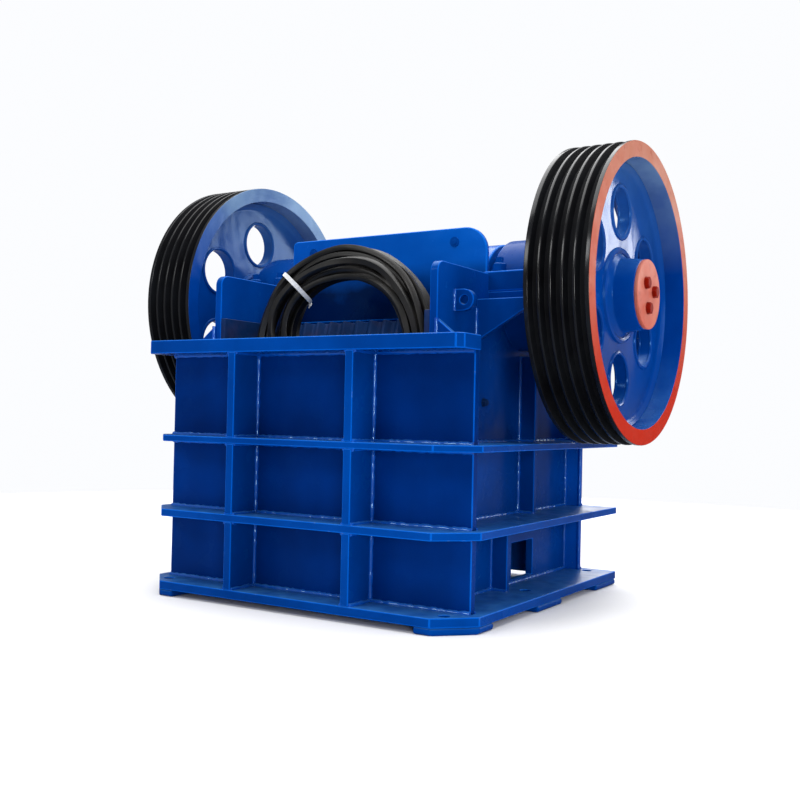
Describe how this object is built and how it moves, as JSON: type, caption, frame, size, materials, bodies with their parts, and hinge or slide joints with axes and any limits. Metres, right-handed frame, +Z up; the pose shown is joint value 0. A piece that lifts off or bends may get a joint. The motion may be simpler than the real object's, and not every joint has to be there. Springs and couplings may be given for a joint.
{
  "type": "jaw crusher",
  "caption": "Single-toggle jaw crusher: ribbed welded frame, grooved flywheels on an eccentric shaft, swing jaw on a toggle plate, and a coil of spare belts in the feed opening.",
  "frame": {"origin": "on the ground, midway between the corner bolt holes of the base flange", "axes": "+Z up, -Y the feed side, X along the shaft"},
  "size_m": [1.86, 1.482, 1.59],
  "materials": {
    "blue_paint": "glossy blue enamel on welded steel",
    "head_paint": "glossy lighter blue enamel",
    "wheel_paint": "blue web, black grooved rim, red primer on the machined outer faces",
    "primer": "satin red primer",
    "cast_steel": "rough manganese steel casting",
    "machined_steel": "turned or ground steel",
    "spring_steel": "dark oiled spring steel",
    "belt_rubber": "black rubber belt"
  },
  "bodies": {
    "frame": {"adjusting_seat": "blue_paint", "back_wall": "blue_paint", "base_flange": "blue_paint", "bearing_cap_left": "blue_paint", "bearing_cap_right": "blue_paint", "bearing_cover_left": "blue_paint", "bearing_cover_right": "blue_paint", "bearing_left": "machined_steel", "bearing_right": "machined_steel", "bearing_seat_left": "blue_paint", "bearing_seat_right": "blue_paint", "belt_coil": "belt_rubber", "cheek_gusset_left": "blue_paint", "cheek_gusset_right": "blue_paint", "cheek_liner_left": "cast_steel", "cheek_liner_right": "cast_steel", "fixed_jaw_die": "cast_steel", "foot_pads": "blue_paint", "front_rib_left": "blue_paint", "front_rib_right": "blue_paint", "front_wall": "blue_paint", "lifting_lug_left": "blue_paint", "lifting_lug_right": "blue_paint", "lower_shelf": "blue_paint", "shim_pack": "machined_steel", "side_plate_left": "blue_paint", "side_plate_right": "blue_paint", "side_ribs_left": "blue_paint", "side_ribs_right": "blue_paint", "tension_rod": "machined_steel", "tension_spring": "spring_steel", "top_flange": "blue_paint", "upper_shelf": "blue_paint"},
    "rotor": {"eccentric_shaft": "machined_steel", "wheel_rim_left": "wheel_paint", "wheel_rim_right": "wheel_paint", "wheel_web_left": "wheel_paint", "wheel_web_right": "wheel_paint", "end_cover_left": "primer", "end_cover_right": "primer"},
    "jaw": {"swing_jaw": "head_paint", "head_guard": "head_paint", "swing_jaw_die": "cast_steel"},
    "toggle": {"toggle_plate": "blue_paint"}
  },
  "joints": [
    {"name": "wheel_spin", "type": "hinge", "parent": "frame", "child": "rotor", "pos_m": [0, 0.15, 1.075], "axis": [1, 0, 0], "continuous": true},
    {"name": "jaw_swing", "type": "hinge", "parent": "frame", "child": "jaw", "pos_m": [0, 0.15, 1.075], "axis": [1, 0, 0], "range_deg": [-1.2, 0]},
    {"name": "toggle_rock", "type": "hinge", "parent": "frame", "child": "toggle", "pos_m": [0, 0.251, 0.407], "axis": [1, 0, 0], "range_deg": [-0.92, 0]}
  ],
  "couplings": [
    {"joint": "toggle_rock", "follows": "jaw_swing", "ratio": 0.754}
  ]
}
